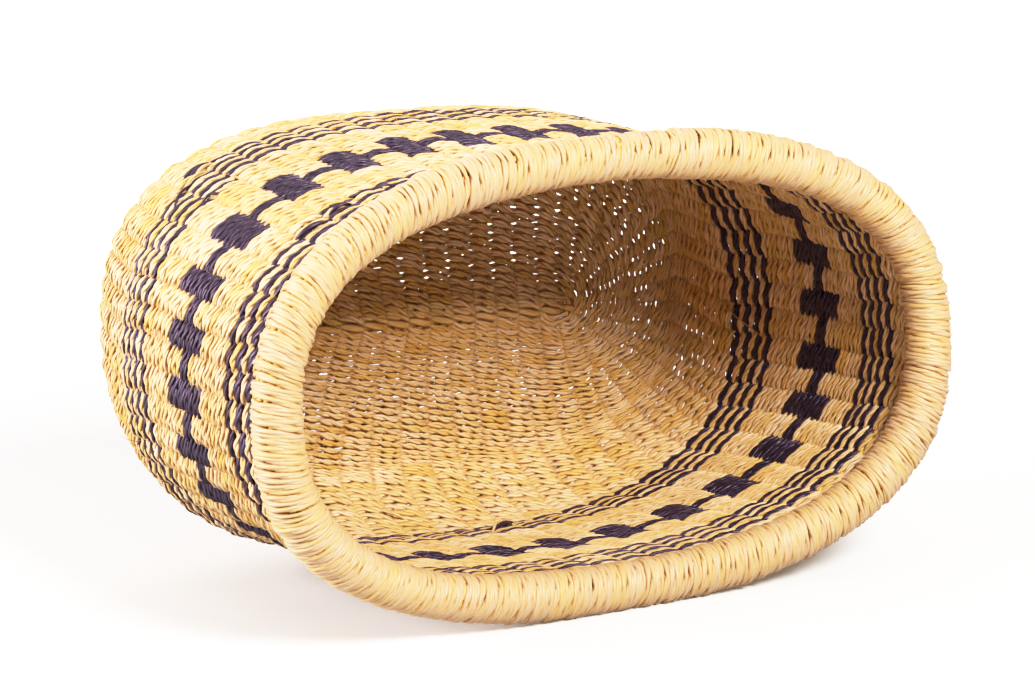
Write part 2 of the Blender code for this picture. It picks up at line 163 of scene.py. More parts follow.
class StudioSettings(bpy.types.PropertyGroup):
    key_power: bpy.props.FloatProperty(
        name="Key light", description="Power of the soft light in front of the mouth", default=46.0)
    top_power: bpy.props.FloatProperty(
        name="Top light", description="Power of the large soft light overhead", default=32.0)
    side_power: bpy.props.FloatProperty(
        name="Side light", description="Power of the soft light at the left", default=60.0)
    surround: bpy.props.FloatProperty(
        name="Surround", description="Brightness of the white sweep behind the basket", default=0.8)
    room: bpy.props.FloatProperty(
        name="Room", description="Brightness of the dim room behind the camera", default=0.01)
    camera_distance: bpy.props.FloatProperty(
        name="Camera distance", description="From the lens to the middle of the mouth",
        default=1.3628, unit="LENGTH")
    camera_lens: bpy.props.FloatProperty(
        name="Lens", description="Focal length of the camera in millimetres", default=118.26)
    camera_turn: bpy.props.FloatProperty(
        name="Camera turn", description="Turn of the view from straight into the mouth",
        default=0.581, subtype="ANGLE")
    camera_height: bpy.props.FloatProperty(
        name="Camera height", description="Angle of the view below the horizontal",
        default=0.211, subtype="ANGLE")


# Wall

def smooth(values, rows):
    """Monotone cubic through the station values, read at the given rows."""
    x = np.asarray(STATION_ROWS, float)
    y = np.asarray(values, float)
    step = np.diff(x)
    rise = np.diff(y) / step
    slope = np.zeros(len(x))
    slope[0], slope[-1] = rise[0], rise[-1]
    for i in range(1, len(x) - 1):
        if rise[i - 1] * rise[i] > 0:
            before = 2 * step[i] + step[i - 1]
            after = step[i] + 2 * step[i - 1]
            slope[i] = (before + after) / (before / rise[i - 1] + after / rise[i])
    rows = np.clip(rows, x[0], x[-1])
    i = np.clip(np.searchsorted(x, rows, side="right") - 1, 0, len(x) - 2)
    s = (rows - x[i]) / step[i]
    return (
        (2 * s**3 - 3 * s**2 + 1) * y[i]
        + (s**3 - 2 * s**2 + s) * step[i] * slope[i]
        + (3 * s**2 - 2 * s**3) * y[i + 1]
        + (s**3 - s**2) * step[i] * slope[i + 1]
    )


def loop_points(row, around):
    """Points of one row on the wall's middle, in the basket's frame: x along the mouth, z out of it."""
    line_half, line_half_width = START_LINE_LENGTH / 2, START_LINE_WIDTH / 2
    depth_share = smooth(DEPTH_SHARES, row)
    half_length = line_half + (MOUTH_LENGTH / 2 - line_half) * smooth(LENGTH_SHARES, row)
    half_width = line_half_width + (MOUTH_WIDTH / 2 - line_half_width) * smooth(WIDTH_SHARES, row)
    straight = line_half * smooth(STRAIGHT_SHARES, row)
    power = 2 / smooth(ROUNDNESS, row)
    angle = np.linspace(0, 2 * math.pi, AROUND_STEPS + 1)
    cosine, sine = np.cos(angle), np.sin(angle)
    x = np.sign(cosine) * (np.abs(cosine) ** power * (half_length - straight) + straight)
    y = np.sign(sine) * np.abs(sine) ** power * half_width
    reach = x / half_length
    y = y * (1 + smooth(EGG_SHARES, row) * reach)
    y = y + SKEW * smooth(SKEW_SHARES, row) * x
    y = y + HEEL_OFFSET * smooth(HEEL_OFFSET_SHARES, row) + BODY_DRIFT_ACROSS * depth_share
    x = x - BODY_DRIFT_ALONG * depth_share
    bow = MOUTH_BOW * (1 - depth_share) + BASE_BOW * depth_share
    z = bow * (2 * reach**2 - 1) - BODY_DEPTH * depth_share
    path = np.stack([x, y, z], 1)
    length = np.concatenate([[0.0], np.cumsum(np.linalg.norm(np.diff(path, axis=0), axis=1))])
    measure = (1 - ANGLE_SPREAD_SHARE) * length / length[-1] + ANGLE_SPREAD_SHARE * angle / angle[-1]
    around = np.asarray(around, float) % 1.0
    return np.stack([np.interp(around, measure, path[:, k]) for k in range(3)], 1)


def unit(vectors):
    return vectors / np.maximum(np.linalg.norm(vectors, axis=-1, keepdims=True), 1e-12)


def stood(vectors):
    """Turns the basket's frame to the frame of the part, which lies on its long side."""
    x, y, z = vectors[..., 0], vectors[..., 1], vectors[..., 2]
    return np.stack([x, y * math.sin(LEAN) - z * math.cos(LEAN), z * math.sin(LEAN) + y * math.cos(LEAN)], -1)


def stake_drift(stakes):
    """How far the stakes have strayed from an even spacing, in stakes."""
    places = np.array((DRIFT_STAKES[-1] - STAKES,) + DRIFT_STAKES + (DRIFT_STAKES[0] + STAKES,), float)
    drifts = np.array((DRIFTS[-1],) + DRIFTS + (DRIFTS[0],))
    i = np.clip(np.searchsorted(places, stakes, side="right") - 1, 0, len(places) - 2)
    share = step_smooth((stakes - places[i]) / (places[i + 1] - places[i]))
    return drifts[i] * (1 - share) + drifts[i + 1] * share


class Wall:
    """Points and outward normals of the wall's middle, tabled over the rows and the way round."""

    def __init__(self):
        around = np.arange(AROUND_STEPS) / AROUND_STEPS
        rows = np.arange(0, TOTAL_ROWS + ROW_STEP / 2, ROW_STEP)
        self.flat = np.stack([loop_points(row, around) for row in rows])
        reach = AROUND_STEPS // (4 * STAKES)
        along = np.roll(self.flat, -reach, 1) - np.roll(self.flat, reach, 1)
        up = np.gradient(self.flat, axis=0)
        normal = unit(np.cross(along, up))
        placed = stood(self.flat)
        box = [np.array(corner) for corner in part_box("rim_wrap")]
        self.mouth = self.place_of_mouth(box)
        self.points = placed + self.mouth
        self.normals = stood(normal)
        climb = np.gradient(placed, axis=0) / ROW_STEP
        way = unit(np.roll(placed, -reach, 1) - np.roll(placed, reach, 1))
        self.pitch = np.linalg.norm(climb - way * (climb * way).sum(-1, keepdims=True), axis=-1)[..., None]
        self.stake_lines = self.lines_of_stakes()

    def place_of_mouth(self, box):
        """The middle of the mouth in the part's frame, from the box of the rim's solid."""
        ring = self.read(stood(self.flat), np.full(AROUND_STEPS, TOTAL_ROWS), np.arange(AROUND_STEPS) / AROUND_STEPS)
        around = np.arange(AROUND_STEPS) / AROUND_STEPS
        centre, out, up = rim_frame(around, stood(loop_points(TOTAL_ROWS, around)))
        outer = np.concatenate([
            centre + RIM_ROLL_RADIUS * (math.sin(angle) * out + math.cos(angle) * up)
            for angle in np.linspace(0, 2 * math.pi, 48, endpoint=False)])
        low, high = outer.min(0), outer.max(0)
        place = (box[0] + box[1]) / 2 - (low + high) / 2
        place[2] = box[1][2] - high[2]
        place[1] = box[0][1] - low[1]
        return place + 0 * ring[0]

    @staticmethod
    def read(table, row, around):
        """Reads a table between its rows and columns."""
        i = np.clip(np.asarray(row, float) / ROW_STEP, 0, len(table) - 1.001)
        j = (np.asarray(around, float) % 1.0) * AROUND_STEPS
        i0, j0 = i.astype(int), j.astype(int)
        fi, fj = (i - i0)[..., None], (j - j0)[..., None]
        j0 = j0 % AROUND_STEPS
        j1 = (j0 + 1) % AROUND_STEPS
        low = table[i0, j0] * (1 - fj) + table[i0, j1] * fj
        high = table[i0 + 1, j0] * (1 - fj) + table[i0 + 1, j1] * fj
        return low * (1 - fi) + high * fi

    def lines_of_stakes(self):
        """Where each stake crosses each row, as a share of the way round."""
        rows = np.arange(0, FLAT_BASE_ROWS + ROW_STEP / 2, ROW_STEP)
        even = (np.arange(STAKES) + STAKE_PHASE_SHARE + stake_drift(np.arange(STAKES))) / STAKES
        ring = loop_points(FLAT_BASE_ROWS, even)[:, :2]
        line = loop_points(0, np.array([0.0, 0.5]))
        right, left = line[0, :2], line[1, :2]
        self.fan_place = {}
        self.line_pairs = []
        starts = np.zeros((STAKES, 2))
        top = sorted(range(STAKES // 2), key=lambda k: abs(ring[k, 0] - (right[0] + left[0]) / 2))[:LINE_STAKES]
        top = sorted(top)
        bottom = sorted(
            range(STAKES // 2, STAKES), key=lambda k: abs(ring[k, 0] - (right[0] + left[0]) / 2))[:LINE_STAKES]
        bottom = sorted(bottom)
        for number in range(LINE_STAKES):
            share = 1 - (number + 0.5) / LINE_STAKES
            place = left + (right - left) * (share * 0.98 + 0.01)
            starts[top[number]] = place
            starts[bottom[LINE_STAKES - 1 - number]] = place
            self.line_pairs.append((top[number], bottom[LINE_STAKES - 1 - number], place))
        for number in range(FAN_STAKES):
            k = (bottom[-1] + 1 + number) % STAKES
            starts[k] = right
            self.fan_place[k] = number
            k = top[-1] + 1 + number
            starts[k] = left
            self.fan_place[k] = number
        table = np.zeros((len(rows), STAKES))
        around = np.arange(AROUND_STEPS) / AROUND_STEPS
        for i, row in enumerate(rows):
            loop = self.flat[i, :, :2]
            for k in range(STAKES):
                way = ring[k] - starts[k]
                across = (loop[:, 0] - starts[k, 0]) * way[1] - (loop[:, 1] - starts[k, 1]) * way[0]
                ahead = (loop[:, 0] - starts[k, 0]) * way[0] + (loop[:, 1] - starts[k, 1]) * way[1]
                nearby = np.abs((around - even[k] + 0.5) % 1.0 - 0.5)
                turned = np.sign(across) != np.sign(np.roll(across, -1))
                turned &= (ahead > -1e-9) & (nearby < 0.26)
                found = np.nonzero(turned)[0]
                if len(found) == 0:
                    table[i, k] = np.nan
                    continue
                j = found[np.argmin(nearby[found])]
                a, b = across[j], across[(j + 1) % AROUND_STEPS]
                table[i, k] = (j + (a / (a - b) if a != b else 0.0)) / AROUND_STEPS
        for k in range(STAKES):
            good = ~np.isnan(table[:, k])
            offset = (table[good, k] - even[k] + 0.5) % 1.0 - 0.5
            table[:, k] = even[k] + np.interp(rows, rows[good], offset)
        table[-1] = even
        table = np.maximum.accumulate(table, axis=1)
        return np.concatenate([table, table[:, :1] + 1.0], axis=1)

    def around_of(self, row, stake):
        """The share of the way round at a row and a place counted in stakes."""
        stake = np.asarray(stake, float)
        laps = np.floor(stake / STAKES)
        place = stake - laps * STAKES
        k = np.clip(place.astype(int), 0, STAKES - 1)
        f = place - k
        i = np.clip(np.asarray(row, float) / ROW_STEP, 0, len(self.stake_lines) - 1.001)
        i0 = i.astype(int)
        fi = i - i0
        low = self.stake_lines[i0, k] * (1 - f) + self.stake_lines[i0, k + 1] * f
        high = self.stake_lines[i0 + 1, k] * (1 - f) + self.stake_lines[i0 + 1, k + 1] * f
        return low * (1 - fi) + high * fi

    def at(self, row, stake):
        around = self.around_of(row, stake)
        return (self.read(self.points, row, around), unit(self.read(self.normals, row, around)),
                self.read(self.pitch, row, around)[..., 0])

    def first_row(self, k):
        """The row at which the weft begins to pass round a stake."""
        if k not in self.fan_place:
            return 0
        return FAN_FIRST_ROWS.get(self.fan_place[k], FAN_LATE_ROW)


def rim_frame(around, ring):
    """The rim roll's centre line with its outward and mouthward directions, in the part's frame."""
    reach = max(1, len(around) // (4 * STAKES))
    tangent = unit(np.roll(ring, -reach, 0) - np.roll(ring, reach, 0))
    axis = stood(np.array([[0.0, 0.0, 1.0]]))
    out = unit(np.cross(tangent, axis))
    up = np.cross(out, tangent)
    return ring + out * RIM_INSET, out, up


# Weave

def step_smooth(value):
    value = np.clip(value, 0, 1)
    return value * value * (3 - 2 * value)


def turn_rise(turn):
    """The rows that one turn climbs: the base and the heel are twined finer than the wall."""
    heel = (HEEL_LAST_ROW - FLAT_BASE_ROWS) / HEEL_TURNS
    return np.where(turn < FLAT_BASE_ROWS, FLAT_BASE_ROWS / BASE_TURNS, np.where(turn < HEEL_LAST_ROW, heel, 1.0))


def row_of(turn, share):
    """The row at a share of a turn. Turns of a stripe zone climb two rows, and the rows beside it give way."""
    row = turn + share * turn_rise(turn)
    settle = STEP_SETTLE_STAKES / STAKES
    begin, finish = step_smooth(share / settle), step_smooth((1 - share) / settle)
    for first, last in STRIPE_ZONES:
        beside = np.maximum(np.maximum(first - turn, turn - last), 0)
        fade = 1 - step_smooth(beside / STRIPE_FADE_ROWS)
        fade = fade * np.where(turn > first, 1.0, begin)
        fade = fade * np.where(turn < last, 1.0, finish)
        fade = np.where((turn < first) | (turn > last), fade * begin * finish, fade)
        row = row + (share - 0.5) * fade
    return row


def wander(row, stake, seed, scale):
    """A slow unevenness over the wall, the same for every piece."""
    draw = np.random.default_rng(seed)
    total = 0.0
    for _ in range(6):
        laps = int(draw.integers(1, 9))
        total = total + np.sin(2 * math.pi * laps * stake / STAKES + row * draw.uniform(-0.35, 0.35)
                               + draw.uniform(0, 2 * math.pi)) / math.sqrt(6)
    return scale * total


class Run:
    """One strand along several turns, with what its stitches need."""

    def __init__(self, wall, turns, strand, seed, samples=8, width=1.0):
        knots, count = [], 0
        for number, turn in enumerate(turns):
            for m in range(STAKES):
                k = (STEP_STAKE - m) % STAKES
                if wall.first_row(k) <= turn:
                    knots.append(STEP_STAKE - m - STAKES * number)
        knots = np.array(knots, float)
        self.knots = knots
        q = np.arange(-samples // 2, (len(knots) - 1) * samples + samples // 2 + 1) / samples
        start, stop = STEP_STAKE + 0.5, STEP_STAKE + 0.5 - STAKES * len(turns)
        places = np.concatenate([[start], knots, [stop]])
        counts = np.concatenate([[-0.5], np.arange(len(knots)), [len(knots) - 0.5]])
        stake = np.interp(q, counts, places)
        total = np.clip((STEP_STAKE + 0.5 - stake) / STAKES, 0, len(turns) - 1e-9)
        lap = total.astype(int)
        self.row = row_of(np.array(turns, float)[lap], total - lap)
        self.stake, self.q = stake, q
        self.strand, self.seed, self.samples, self.width = strand, seed, samples, width
        spacing = np.abs(np.diff(places, prepend=places[0] + 1))
        self.spread = np.interp(q, counts, spacing)
        self.row_share = float(turn_rise(turns[0]))


def weave(wall, run, sizes):
    """The twisted plies of one strand of a run: for each its path, frame, section and tone."""
    draw = np.random.default_rng(run.seed)
    stitches = len(run.knots)
    theta = math.pi * (run.q + run.strand)
    outward, rise = np.cos(theta), np.sin(theta)
    stitch = np.clip(np.round(run.q).astype(int), 0, stitches - 1)
    jitter = draw.normal(0, 1, (stitches + 1, 7))

    def per_stitch(column):
        low = np.clip(np.floor(run.q).astype(int), 0, stitches)
        share = step_smooth(run.q - np.floor(run.q))
        return jitter[low, column] * (1 - share) + jitter[np.minimum(low + 1, stitches), column] * share

    over = np.abs(outward)
    row = run.row + wander(run.row, run.stake, 5, 0.16)
    step = run.row_share
    rows = row + step * (sizes.stitch_rise * rise * (1 + 0.12 * per_stitch(0)) + 0.04 * per_stitch(1))
    points, normals, pitch = wall.at(rows, run.stake)
    pitch = pitch * step
    ahead = wall.at(row, run.stake + 0.5)[0] - wall.at(row, run.stake - 0.5)[0]
    gap = np.linalg.norm(ahead, axis=1) * np.maximum(run.spread, 0.5)
    room = np.clip(gap / 0.0085, 0.35, 1.0)
    swing = sizes.strand_swing * (0.55 + 0.45 * room) * np.sign(outward) * over ** 0.85
    swing = swing * (1 + 0.07 * per_stitch(2))
    lumps = wander(run.row, run.stake, 11, 0.00035)
    points = points + normals * (swing + lumps)[:, None]
    width_share = run.width(run.stake % STAKES, outward > 0) if callable(run.width) else run.width
    late = step_smooth((run.row - FLAT_BASE_ROWS) / 9)
    least = 0.24 + 0.09 * step_smooth((run.row - 18) / 4)
    pinch = np.clip(sizes.strand_pinch / pitch, least, 0.46) + 0.022 * per_stitch(6)
    # the base is tightest at its right end and most open along the side that lies uppermost
    tight = step_smooth((points[:, 0] - 0.055) / 0.03) * (1 - step_smooth((run.row - FLAT_BASE_ROWS) / 3))
    open_side = step_smooth((0.075 - points[:, 0]) / 0.03) * step_smooth(points[:, 2] / 0.012)
    pinch = pinch + tight * (0.09 + 0.05 * per_stitch(6)) - 0.012 * open_side * (run.row < FLAT_BASE_ROWS)
    pinch = pinch + 0.30 * np.clip(gap / 0.0085 - 0.9, 0, 1)
    pinch = pinch + 0.25 * step_smooth((4 - run.row) / 1.5) * np.clip((gap - 0.0092) / 0.001, 0, 1)
    taper = over ** (1.7 - 0.5 * late)
    half_width = pitch * (pinch + (0.53 * width_share - pinch) * taper) * (1 + 0.08 * per_stitch(3))
    swell = 0.25 + 0.50 * late
    half_thickness = sizes.strand_thickness / 2 * (1.0 + 0.10 * per_stitch(4)) * (1 + swell * room * (1 - over))
    tone = np.clip(0.5 + 0.22 * jitter[stitch, 5] + 0.10 * jitter[stitch, 6], 0, 1)
    tangent = unit(np.gradient(points, axis=0))
    side = unit(np.cross(tangent, normals))
    length = np.concatenate([[0], np.cumsum(np.linalg.norm(np.diff(points, axis=0), axis=1))])
    lay = draw.uniform(0, 2 * math.pi) - 2 * math.pi * length / PLY_LAY + 0.9 * per_stitch(5)
    for ply in range(PLIES):
        turn = lay + 2 * math.pi * ply / PLIES
        middle = points + side * (0.45 * half_width * np.cos(turn))[:, None]
        middle = middle + normals * (0.36 * half_thickness * np.sin(turn))[:, None]
        shade = np.clip(tone + draw.normal(0, 0.12), 0, 1)
        yield middle, normals, 0.60 * half_width, 0.71 * half_thickness, shade, over


class Mesh:
    """Gathers swept strands and makes them one closed, smooth object."""

    def __init__(self):
        self.points, self.faces, self.maps = [], [], []
        self.tones, self.overs = [], []
        self.count = 0

    def sweep(self, points, normals, half_width, half_thickness, tone, over, sides=6, closed=False):
        points = np.asarray(points, float)
        number = len(points)
        if closed:
            tangent = unit(np.roll(points, -1, 0) - np.roll(points, 1, 0))
        else:
            tangent = unit(np.gradient(points, axis=0))
        side = unit(np.cross(tangent, normals))
        top = np.cross(side, tangent)
        angle = 2 * math.pi * np.arange(sides) / sides
        half_width = np.broadcast_to(half_width, (number,))
        half_thickness = np.broadcast_to(half_thickness, (number,))
        ring = (points[:, None] + side[:, None] * (half_width[:, None] * np.cos(angle))[..., None]
                + top[:, None] * (half_thickness[:, None] * np.sin(angle))[..., None])
        length = np.concatenate([[0], np.cumsum(np.linalg.norm(np.diff(points, axis=0), axis=1))])
        i = np.arange(number if closed else number - 1)
        m = np.arange(sides)
        a = (i[:, None] * sides + m) + self.count
        nexts = (i + 1) % number
        b = (nexts[:, None] * sides + m) + self.count
        c = (nexts[:, None] * sides + (m + 1) % sides) + self.count
        d = (i[:, None] * sides + (m + 1) % sides) + self.count
        self.faces.extend(np.stack([a, b, c, d], -1).reshape(-1, 4).tolist())
        u0, u1 = length[i], np.concatenate([length, length[-1:]])[i + 1]
        v0, v1 = m / sides, (m + 1) / sides
        shape = (len(i), sides)
        u0, u1 = np.broadcast_to(u0[:, None], shape), np.broadcast_to(u1[:, None], shape)
        v0, v1 = np.broadcast_to(v0, shape), np.broadcast_to(v1, shape)
        self.maps.append(np.stack([u0, v0, u1, v0, u1, v1, u0, v1], -1).reshape(-1))
        if not closed:
            self.faces.append(list(range(self.count, self.count + sides)))
            last = self.count + (number - 1) * sides
            self.faces.append(list(range(last, last + sides))[::-1])
            caps = np.stack([np.zeros(sides), m / sides], -1).reshape(-1)
            self.maps.append(caps)
            self.maps.append(np.stack([np.full(sides, length[-1]), (m / sides)[::-1]], -1).reshape(-1))
        self.points.append(ring.reshape(-1, 3))
        self.tones.append(np.repeat(np.broadcast_to(tone, (number,)), sides))
        self.overs.append(np.repeat(np.broadcast_to(over, (number,)), sides))
        self.count += number * sides

    def make(self, name, material):
        points = np.concatenate(self.points)
        points[:, 2] = np.maximum(points[:, 2], FLOOR_SKIN)
        mesh = bpy.data.meshes.new(name)
        mesh.from_pydata(points.tolist(), [], self.faces)
        layer = mesh.uv_layers.new(name="strand")
        layer.data.foreach_set("uv", np.concatenate(self.maps).astype(np.float32))
        for label, values in (("tone", self.tones), ("over", self.overs)):
            attribute = mesh.attributes.new(label, "FLOAT", "POINT")
            attribute.data.foreach_set("value", np.concatenate(values).astype(np.float32))
        mesh.polygons.foreach_set("use_smooth", np.ones(len(mesh.polygons), bool))
        mesh.materials.append(material)
        mesh.update()
        made = bpy.data.objects.new(name, mesh)
        bpy.context.scene.collection.objects.link(made)
        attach(made, "root")
        return made


FLOOR_SKIN = 0.0002
WHITE_LEVEL = 2.2


# Materials

def fibre_group():
    """Colour, roughness and height of twisted grass, from the strand map and the stitch's own tone; the colour also
    carries painted shade where a strand dives between stakes and along each strand's sides.
    """
    group = bpy.data.node_groups.new("grass_fibres", "ShaderNodeTree")
    face = group.interface
    for label, kind, value in (
        ("Pale", "NodeSocketColor", (0.8, 0.6, 0.35, 1)),
        ("Middle", "NodeSocketColor", (0.65, 0.42, 0.18, 1)),
        ("Deep", "NodeSocketColor", (0.35, 0.18, 0.06, 1)),
        ("Along", "NodeSocketFloat", 70.0),
        ("Around", "NodeSocketFloat", 9.0),
        ("Twist", "NodeSocketFloat", 180.0),
    ):
        socket = face.new_socket(name=label, in_out="INPUT", socket_type=kind)
        socket.default_value = value
    face.new_socket(name="Colour", in_out="OUTPUT", socket_type="NodeSocketColor")
    face.new_socket(name="Roughness", in_out="OUTPUT", socket_type="NodeSocketFloat")
    face.new_socket(name="Height", in_out="OUTPUT", socket_type="NodeSocketFloat")
    nodes, links = group.nodes, group.links
    given = nodes.new("NodeGroupInput")
    out = nodes.new("NodeGroupOutput")

    def math_node(operation, *values):
        node = nodes.new("ShaderNodeMath")
        node.operation = operation
        for number, value in enumerate(values):
            if isinstance(value, (int, float)):
                node.inputs[number].default_value = value
            else:
                links.new(value, node.inputs[number])
        return node.outputs[0]

    strand = nodes.new("ShaderNodeUVMap")
    strand.uv_map = "strand"
    split = nodes.new("ShaderNodeSeparateXYZ")
    links.new(strand.outputs[0], split.inputs[0])
    tone = nodes.new("ShaderNodeAttribute")
    tone.attribute_name = "tone"
    over = nodes.new("ShaderNodeAttribute")
    over.attribute_name = "over"
    place = nodes.new("ShaderNodeTexCoord")

    turned = math_node("MULTIPLY_ADD", split.outputs[0], given.outputs["Twist"],
                       math_node("MULTIPLY", split.outputs[1], given.outputs["Around"]))
    lane = nodes.new("ShaderNodeCombineXYZ")
    links.new(math_node("MULTIPLY", split.outputs[0], given.outputs["Along"]), lane.inputs[0])
    links.new(turned, lane.inputs[1])
    links.new(math_node("MULTIPLY", tone.outputs["Fac"], 17.0), lane.inputs[2])
    fibre = nodes.new("ShaderNodeTexNoise")
    fibre.inputs["Scale"].default_value = 1.0
    fibre.inputs["Detail"].default_value = 3.0
    fibre.inputs["Roughness"].default_value = 0.6
    links.new(lane.outputs[0], fibre.inputs["Vector"])

    patch = nodes.new("ShaderNodeTexNoise")
    patch.inputs["Scale"].default_value = 32.0
    patch.inputs["Detail"].default_value = 2.0
    links.new(place.outputs["Object"], patch.inputs["Vector"])

    lift = math_node("MULTIPLY_ADD", patch.outputs["Fac"], 0.9, -0.45)
    blend = math_node("ADD", tone.outputs["Fac"], lift)
    blend = math_node("MULTIPLY_ADD", math_node("SUBTRACT", fibre.outputs["Fac"], 0.5), 1.3, blend)
    clamp = nodes.new("ShaderNodeClamp")
    links.new(blend, clamp.inputs["Value"])
    first = nodes.new("ShaderNodeMix")
    first.data_type = "RGBA"
    links.new(clamp.outputs[0], first.inputs["Factor"])
    links.new(given.outputs["Middle"], first.inputs["A"])
    links.new(given.outputs["Pale"], first.inputs["B"])

    groove = nodes.new("ShaderNodeMapRange")
    groove.inputs["From Min"].default_value = 0.47
    groove.inputs["From Max"].default_value = 0.30
    links.new(fibre.outputs["Fac"], groove.inputs["Value"])
    # painted shade: the colour turns towards Deep where a strand dives between two stakes
    sunk_shade = nodes.new("ShaderNodeMapRange")
    sunk_shade.inputs["From Min"].default_value = 0.4
    sunk_shade.inputs["From Max"].default_value = 0.0
    sunk_shade.inputs["To Max"].default_value = 0.4
    links.new(over.outputs["Fac"], sunk_shade.inputs["Value"])
    # painted shade: the colour turns towards Deep along each strand's two sides, where it meets its neighbours
    flank_shade = nodes.new("ShaderNodeMapRange")
    flank_shade.interpolation_type = "SMOOTHSTEP"
    flank_shade.inputs["From Min"].default_value = 0.55
    flank_shade.inputs["From Max"].default_value = 1.0
    flank_shade.inputs["To Max"].default_value = 0.55
    sideways = math_node("ABSOLUTE", math_node("COSINE", math_node("MULTIPLY", split.outputs[1], 2 * math.pi)))
    links.new(sideways, flank_shade.inputs["Value"])
    # darker low fibre lines, with the painted shade of the dives and of the sides, mixed towards Deep
    fibre_lines_and_painted_shade = math_node("MAXIMUM", math_node("MULTIPLY", groove.outputs[0], 0.7), sunk_shade.outputs[0])
    fibre_lines_and_painted_shade = math_node("MAXIMUM", fibre_lines_and_painted_shade, flank_shade.outputs[0])
    second = nodes.new("ShaderNodeMix")
    second.data_type = "RGBA"
    links.new(fibre_lines_and_painted_shade, second.inputs["Factor"])
    links.new(first.outputs["Result"], second.inputs["A"])
    links.new(given.outputs["Deep"], second.inputs["B"])
    links.new(second.outputs["Result"], out.inputs["Colour"])

    rough = nodes.new("ShaderNodeMapRange")
    rough.inputs["To Min"].default_value = 0.58
    rough.inputs["To Max"].default_value = 0.34
    links.new(fibre.outputs["Fac"], rough.inputs["Value"])
    links.new(rough.outputs[0], out.inputs["Roughness"])
    links.new(fibre.outputs["Fac"], out.inputs["Height"])
    return group


def grass_material(name, pale, middle, deep, along=70.0, around=9.0, twist=180.0, bump=0.00025, shine=0.5,
                   glint=(1.0, 1.0, 1.0, 1.0), sheen=0.15):
    """A dry or dyed grass finish."""
    material = bpy.data.materials.new(name)
    material.use_nodes = True
    nodes, links = material.node_tree.nodes, material.node_tree.links
    shader = nodes["Principled BSDF"]
    group = nodes.new("ShaderNodeGroup")
    group.node_tree = bpy.data.node_groups.get("grass_fibres") or fibre_group()
    group.inputs["Pale"].default_value = pale
    group.inputs["Middle"].default_value = middle
    group.inputs["Deep"].default_value = deep
    group.inputs["Along"].default_value = along
    group.inputs["Around"].default_value = around
    group.inputs["Twist"].default_value = twist
    bumped = nodes.new("ShaderNodeBump")
    bumped.inputs["Strength"].default_value = 0.8
    bumped.inputs["Distance"].default_value = bump
    links.new(group.outputs["Colour"], shader.inputs["Base Color"])
    links.new(group.outputs["Roughness"], shader.inputs["Roughness"])
    links.new(group.outputs["Height"], bumped.inputs["Height"])
    links.new(bumped.outputs["Normal"], shader.inputs["Normal"])
    shader.inputs["Specular IOR Level"].default_value = shine
    shader.inputs["Specular Tint"].default_value = glint
    shader.inputs["Sheen Weight"].default_value = sheen
    shader.inputs["Sheen Roughness"].default_value = 0.4
    return material


def finishes():
    """The grass finishes, made once."""
    colours = bpy.context.scene.basket_colours
    pale, straw, ochre = tuple(colours.pale), tuple(colours.straw), tuple(colours.ochre)
    made = {m.name: m for m in bpy.data.materials}
    if "natural_grass" not in made:
        grass_material("natural_grass", pale, straw, ochre)
        # the wrap's deep colour is that of its darker fibre lines and also the painted shade along the sides of each
        # turn
        grass_material("wrap_grass", tuple(colours.wrap), mixed(straw, tuple(colours.wrap)),
                       mixed(straw, mixed(straw, ochre)),
                       60.0, 9.0, 120.0)
        grass_material("stake_grass", straw, straw, ochre)
        grass_material("dyed_grass", tuple(colours.dyed_pale), tuple(colours.dyed), tuple(colours.dyed_deep),
                       shine=0.9, glint=(0.95, 0.68, 0.92, 1.0), sheen=0.0)
    return bpy.data.materials


def mixed(one, other):
    return tuple((a + b) / 2 for a, b in zip(one, other))


WALL = {}


def wall():
    if "wall" not in WALL:
        WALL["wall"] = Wall()
    return WALL["wall"]


def weave_piece(name, runs, material, nodes):
    """One object of woven strands: runs are (turns, strand numbers, width share)."""
    sizes = bpy.context.scene.basket_sizes
    gathered = Mesh()
    for number, (turns, strands, width) in enumerate(runs):
        for strand in strands:
            seed = int(1000 * turns[0]) + 10 * number + strand
            run = Run(wall(), list(turns), strand, seed, width=width)
            for ply in weave(wall(), run, sizes):
                gathered.sweep(*ply, sides=5)
    made = gathered.make(name, finishes()[material])
    if nodes:
        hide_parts(*nodes)
    return made


def near_stakes(stake, first, last, soft=1.5):
    """One between two stakes, fading to none beside them."""
    return step_smooth((stake - first) / soft + 1) * step_smooth((last - stake) / soft + 1)


def dyed_share(place, number, stake, outside):
    """How much of its row a dyed pair covers: it is packed thin or thick from place to place."""
    uneven = 1 + wander(float(number), stake, 41 + number, 0.14)
    if place == "lower":
        seen = (0.62, 0.55, 0.80, 0.66)[number] * uneven
        seen = seen + 0.35 * near_stakes(stake, 21, 24)
        hidden = 1.06 - 0.45 * near_stakes(stake, 41, 49)
    else:
        seen = (0.60, 1.0, 1.08, 1.12)[number] * uneven
        if number == 0:
            seen = np.where(stake < 24.5, 0.25, seen)
            seen = seen + 0.85 * (near_stakes(stake, 21.4, 21.6, 0.5) + near_stakes(stake, 22.9, 23.1, 0.5))
        hidden = 1.06 - 0.35 * near_stakes(stake, 41, 50)
    return np.where(outside, seen, hidden * (0.5 + 0.5 * uneven))


def dyed_row(place, number):
    return lambda stake, outside: dyed_share(place, number, stake, outside)


def natural_row(place, number):
    def share(stake, outside):
        beside = (dyed_share(place, number, stake, outside) + dyed_share(place, number + 1, stake, outside)) / 2
        return np.clip(2.05 - beside, 0.8, 1.35)
    return share


